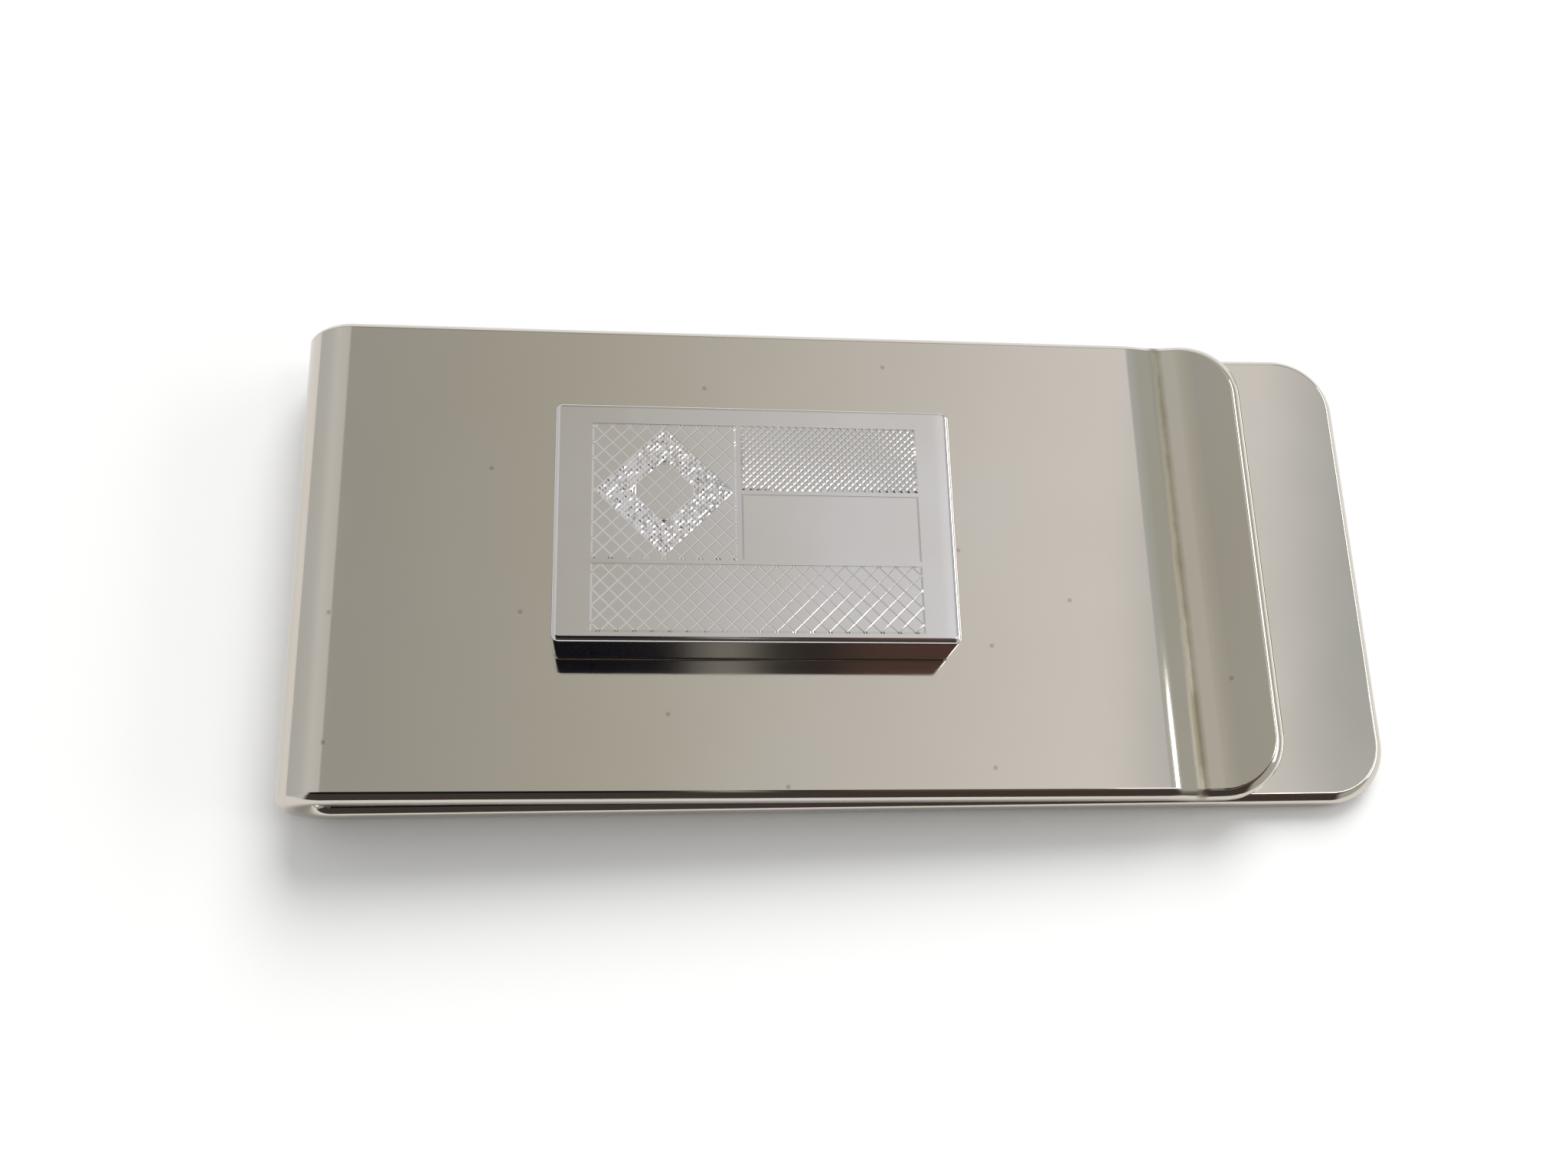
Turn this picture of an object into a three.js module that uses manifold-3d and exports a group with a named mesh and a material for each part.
// Money clip: one bent spring strip with a bonded emblem plaque.
//
// Frame: +X from the bend to the free ends, +Y across the strip, +Z up.
// The back leaf lies flat on z = 0 and the origin is under the middle of the clip.
// The strip is one piece of metal; it is split into a back leaf, a spring bend and a front leaf,
// because the bend is where it flexes. All sizes are in millimetres, all angles in degrees.

import * as THREE from 'three';
import { mergeVertices } from 'three/addons/utils/BufferGeometryUtils.js';
import Module from 'manifold-3d';

const wasm = await Module();
wasm.setup();

// ---- Driving dimensions -------------------------------------------------------------------

// Strip
const CLIP_LENGTH = 56.4;          // bend to the free end of the back leaf
const STRIP_WIDTH = 25.4;
const STRIP_THICKNESS = 1.4;
const BEND_OUTER_RADIUS = 2.55;
const BACK_OVERHANG = 6.1;         // the back leaf reaches this far past the front leaf
const CORNER_RADIUS = 3.2;         // free corners of both leaves, seen from above

// Jaw: crease, grip groove and flared lip near the free end of the front leaf
const CREASE_SETBACK = 5.9;        // crease to the free end of the front leaf
const GROOVE_LENGTH = 1.5;         // crease to the bottom of the groove
const GROOVE_DEPTH = 0.28;
const JAW_CLEARANCE = 0.12;        // groove to back leaf when the clip is closed
const LIP_KNEE_LENGTH = 1.6;       // groove bottom to the knee where the lip steepens
const LIP_KNEE_RISE = 0.2;
const LIP_RISE = 0.85;              // groove bottom to the free end of the flared lip
const FOLD_ROUNDING = 0.45;        // half length of the rounding at each fold

// Plaque
const PLAQUE_LENGTH = 20;
const PLAQUE_WIDTH = 12.4;
const PLAQUE_HEIGHT = 3;
const PLAQUE_FROM_BEND = 13.3;     // bend to the plaque's near end, along X
const PLAQUE_OFFSET_Y = 0.55;      // plaque centre, towards the far side of the strip
const PLAQUE_CORNER_RADIUS = 0.15;
const PLAQUE_EDGE_ROUNDING = 0.3;

// Emblem field: four shallow panels on the plaque's top face
const PANEL_DEPTH = 0.12;
const FIELD_MARGIN_X = 1.9;
const FIELD_MARGIN_FAR = 1.1;
const FIELD_MARGIN_NEAR = 0.45;
const CANTON_LENGTH = 7.1;
const PANEL_RIB = 0.25;            // raised line between two panels

// Adhesive film between the plaque and the front leaf
const FILM_THICKNESS = 0.1;
const FILM_INSET = 0.6;
const FILM_CLEARANCE = 0.02;       // film to leaf, and film to plaque

// Facets
const BEND_SEGMENTS = 30;
const FOLD_SEGMENTS = 4;
const CORNER_SEGMENTS = 10;
const ROUNDING_SEGMENTS = 3;

// ---- Derived places -----------------------------------------------------------------------

const halfThickness = STRIP_THICKNESS / 2;
const bendEndX = -CLIP_LENGTH / 2;
const backEndX = CLIP_LENGTH / 2;
const frontEndX = backEndX - BACK_OVERHANG;
const midRadius = BEND_OUTER_RADIUS - halfThickness;
const bendCentre = new THREE.Vector2(bendEndX + BEND_OUTER_RADIUS, BEND_OUTER_RADIUS);

// Mid-line of the jaw, in the XZ plane
const grooveZ = STRIP_THICKNESS + JAW_CLEARANCE + halfThickness;
const crease = new THREE.Vector2(frontEndX - CREASE_SETBACK, grooveZ + GROOVE_DEPTH);
const groove = new THREE.Vector2(crease.x + GROOVE_LENGTH, grooveZ);
const knee = new THREE.Vector2(groove.x + LIP_KNEE_LENGTH, grooveZ + LIP_KNEE_RISE);
const lipEnd = new THREE.Vector2(frontEndX, grooveZ + LIP_RISE);

// The front leaf is the tangent from the bend's mid-line circle to the crease
const toCrease = crease.clone().sub(bendCentre);
const tangentAngle = Math.atan2(toCrease.y, toCrease.x) + Math.acos(midRadius / toCrease.length());
const tangentNormal = new THREE.Vector2(Math.cos(tangentAngle), Math.sin(tangentAngle));
const leafRoot = bendCentre.clone().addScaledVector(tangentNormal, midRadius);
const leafDirection = crease.clone().sub(leafRoot).normalize();
const leafNormal = new THREE.Vector2(-leafDirection.y, leafDirection.x);
const closingAngle = Math.atan2(-leafDirection.y, leafDirection.x);

// ---- Solids: booleans and small helpers -----------------------------------------------------

function toManifold(geometry) {
  const bare = geometry.clone();
  bare.deleteAttribute('normal');
  bare.deleteAttribute('uv');
  const merged = mergeVertices(bare);
  return new wasm.Manifold(new wasm.Mesh({
    numProp: 3,
    vertProperties: new Float32Array(merged.attributes.position.array),
    triVerts: new Uint32Array(merged.index.array),
  }));
}

function toGeometry(manifold) {
  const mesh = manifold.getMesh();
  const geometry = new THREE.BufferGeometry();
  geometry.setAttribute('position', new THREE.BufferAttribute(mesh.vertProperties, 3));
  geometry.setIndex(new THREE.BufferAttribute(mesh.triVerts, 1));
  geometry.computeVertexNormals();
  return geometry;
}

function namedMesh(name, geometry, material) {
  const mesh = new THREE.Mesh(geometry, material);
  mesh.name = name;
  return mesh;
}

// A rectangle with its own radius at the low-X and at the high-X corners
function roundedRectangle(lowX, highX, lowY, highY, lowRadius, highRadius) {
  const quarter = Math.PI / 2;
  const shape = new THREE.Shape();
  shape.moveTo(lowX + lowRadius, lowY);
  shape.lineTo(highX - highRadius, lowY);
  shape.absarc(highX - highRadius, lowY + highRadius, highRadius, -quarter, 0);
  shape.lineTo(highX, highY - highRadius);
  shape.absarc(highX - highRadius, highY - highRadius, highRadius, 0, quarter);
  shape.lineTo(lowX + lowRadius, highY);
  if (lowRadius > 0) {
    shape.absarc(lowX + lowRadius, highY - lowRadius, lowRadius, quarter, 2 * quarter);
    shape.lineTo(lowX, lowY + lowRadius);
    shape.absarc(lowX + lowRadius, lowY + lowRadius, lowRadius, 2 * quarter, 3 * quarter);
  } else {
    shape.lineTo(lowX, lowY);
  }
  return shape;
}

// ---- Strip: a mid-line thickened to a closed side profile -----------------------------------

// Normals of a polyline, turned to its left; each inner point takes the mean of its two edges
function leftNormals(points) {
  const edges = points.slice(1).map((point, i) => point.clone().sub(points[i]).normalize());
  return points.map((point, i) => {
    const before = edges[Math.max(i - 1, 0)];
    const after = edges[Math.min(i, edges.length - 1)];
    const mean = before.clone().add(after).normalize();
    const widen = 1 / mean.dot(after);
    return new THREE.Vector2(-mean.y, mean.x).multiplyScalar(widen);
  });
}

// The outline of a strip whose mid-line runs through the points
function stripProfile(points, normals) {
  const left = points.map((point, i) => point.clone().addScaledVector(normals[i], halfThickness));
  const right = points.map((point, i) => point.clone().addScaledVector(normals[i], -halfThickness));
  return new THREE.Shape([...left, ...right.reverse()]);
}

// A profile drawn in XZ, swept over the strip's full width in Y
function sweepAcross(profile) {
  const geometry = new THREE.ExtrudeGeometry(profile, {
    depth: STRIP_WIDTH,
    bevelEnabled: false,
    curveSegments: 1,
  });
  geometry.rotateX(Math.PI / 2);
  geometry.translate(0, STRIP_WIDTH / 2, 0);
  return geometry;
}

// A leaf with its two free corners rounded, seen from above
function cutFreeCorners(leaf, endX) {
  const outline = roundedRectangle(
    bendEndX, endX, -STRIP_WIDTH / 2, STRIP_WIDTH / 2, 0, CORNER_RADIUS);
  const cutter = new THREE.ExtrudeGeometry(outline, {
    depth: 4 * BEND_OUTER_RADIUS,
    bevelEnabled: false,
    curveSegments: CORNER_SEGMENTS,
  });
  cutter.translate(0, 0, -BEND_OUTER_RADIUS);
  return toGeometry(toManifold(leaf).intersect(toManifold(cutter)));
}

// ---- Pieces ---------------------------------------------------------------------------------

function backLeaf(material) {
  const points = [
    new THREE.Vector2(bendCentre.x, halfThickness),
    new THREE.Vector2(backEndX, halfThickness),
  ];
  const solid = sweepAcross(stripProfile(points, leftNormals(points)));
  return namedMesh('back_leaf', cutFreeCorners(solid, backEndX), material);
}

function springBend(material) {
  const startAngle = 1.5 * Math.PI;
  const points = [];
  const normals = [];
  for (let i = 0; i <= BEND_SEGMENTS; i += 1) {
    const angle = THREE.MathUtils.lerp(startAngle, tangentAngle, i / BEND_SEGMENTS);
    const outwards = new THREE.Vector2(Math.cos(angle), Math.sin(angle));
    points.push(bendCentre.clone().addScaledVector(outwards, midRadius));
    normals.push(outwards);
  }
  points[BEND_SEGMENTS].copy(leafRoot);
  normals[BEND_SEGMENTS].copy(leafNormal);
  return namedMesh('spring_bend', sweepAcross(stripProfile(points, normals)), material);
}

function frontLeaf(material) {
  const folds = [crease, groove, knee];
  const corners = [leafRoot, ...folds, lipEnd];
  const path = new THREE.Path();
  path.moveTo(leafRoot.x, leafRoot.y);
  folds.forEach((fold, i) => {
    const before = corners[i].clone().sub(fold).setLength(FOLD_ROUNDING).add(fold);
    const after = corners[i + 2].clone().sub(fold).setLength(FOLD_ROUNDING).add(fold);
    path.lineTo(before.x, before.y);
    path.quadraticCurveTo(fold.x, fold.y, after.x, after.y);
  });
  path.lineTo(lipEnd.x, lipEnd.y);
  const points = path.getPoints(FOLD_SEGMENTS);
  const normals = leftNormals(points);
  normals[0].copy(leafNormal);
  normals[normals.length - 1].set(0, 1);
  const solid = sweepAcross(stripProfile(points, normals));
  return namedMesh('front_leaf', cutFreeCorners(solid, frontEndX), material);
}

// The adhesive film and the plaque are drawn with z = 0 on the front leaf's outer face
function bondFilm(material) {
  const length = PLAQUE_LENGTH - 2 * FILM_INSET;
  const width = PLAQUE_WIDTH - 2 * FILM_INSET;
  const geometry = new THREE.BoxGeometry(length, width, FILM_THICKNESS);
  geometry.translate(0, 0, FILM_CLEARANCE + FILM_THICKNESS / 2);
  return namedMesh('bond_film', geometry, material);
}

// Low and high corners of each panel: canton, then three bars to its right and below it
function emblemPanels() {
  const lowX = -PLAQUE_LENGTH / 2 + FIELD_MARGIN_X;
  const highX = PLAQUE_LENGTH / 2 - FIELD_MARGIN_X;
  const lowY = -PLAQUE_WIDTH / 2 + FIELD_MARGIN_NEAR;
  const highY = PLAQUE_WIDTH / 2 - FIELD_MARGIN_FAR;
  const barWidth = (highY - lowY - 2 * PANEL_RIB) / 3;
  const middleY = lowY + barWidth + PANEL_RIB;
  const upperY = middleY + barWidth + PANEL_RIB;
  const barX = lowX + CANTON_LENGTH + PANEL_RIB;
  return [
    [lowX, middleY, lowX + CANTON_LENGTH, highY],
    [barX, upperY, highX, highY],
    [barX, middleY, highX, middleY + barWidth],
    [lowX, lowY, highX, lowY + barWidth],
  ];
}

function plaque(material) {
  const outline = roundedRectangle(
    PLAQUE_EDGE_ROUNDING - PLAQUE_LENGTH / 2, PLAQUE_LENGTH / 2 - PLAQUE_EDGE_ROUNDING,
    PLAQUE_EDGE_ROUNDING - PLAQUE_WIDTH / 2, PLAQUE_WIDTH / 2 - PLAQUE_EDGE_ROUNDING,
    PLAQUE_CORNER_RADIUS, PLAQUE_CORNER_RADIUS);
  const block = new THREE.ExtrudeGeometry(outline, {
    depth: PLAQUE_HEIGHT - 2 * PLAQUE_EDGE_ROUNDING,
    bevelThickness: PLAQUE_EDGE_ROUNDING,
    bevelSize: PLAQUE_EDGE_ROUNDING,
    bevelSegments: ROUNDING_SEGMENTS,
    curveSegments: CORNER_SEGMENTS,
  });
  block.translate(0, 0, FILM_THICKNESS + 2 * FILM_CLEARANCE + PLAQUE_EDGE_ROUNDING);
  const topZ = FILM_THICKNESS + 2 * FILM_CLEARANCE + PLAQUE_HEIGHT;
  let solid = toManifold(block);
  for (const [lowX, lowY, highX, highY] of emblemPanels()) {
    const pocket = new THREE.BoxGeometry(highX - lowX, highY - lowY, 2 * PANEL_DEPTH);
    pocket.translate((lowX + highX) / 2, (lowY + highY) / 2, topZ);
    solid = solid.subtract(toManifold(pocket));
  }
  return namedMesh('plaque', toGeometry(solid), material);
}

// Stands on the front leaf's outer face, under the plaque's centre, and is tilted with the leaf
function plaqueSeat() {
  const centreX = bendEndX + PLAQUE_FROM_BEND + PLAQUE_LENGTH / 2;
  const along = (centreX - leafRoot.x - leafNormal.x * halfThickness) / leafDirection.x;
  const seat = new THREE.Group();
  seat.position.set(
    centreX,
    PLAQUE_OFFSET_Y,
    leafRoot.y + leafNormal.y * halfThickness + along * leafDirection.y);
  seat.rotation.y = closingAngle;
  return seat;
}

// ---- Materials and assembly -------------------------------------------------------------------

const nickelPlate = new THREE.MeshStandardMaterial({ color: 0xc8c3bf, roughness: 0.14, metalness: 1 });
const etchedPewter = new THREE.MeshStandardMaterial({ color: 0xb9b3ad, roughness: 0.32, metalness: 1 });
const clearAdhesive = new THREE.MeshStandardMaterial({ color: 0x8f8a80, roughness: 0.5, metalness: 0 });

const seat = plaqueSeat();
seat.add(bondFilm(clearAdhesive), plaque(etchedPewter));

const moneyClip = new THREE.Group();
moneyClip.add(backLeaf(nickelPlate), springBend(nickelPlate), frontLeaf(nickelPlate), seat);

export default moneyClip;
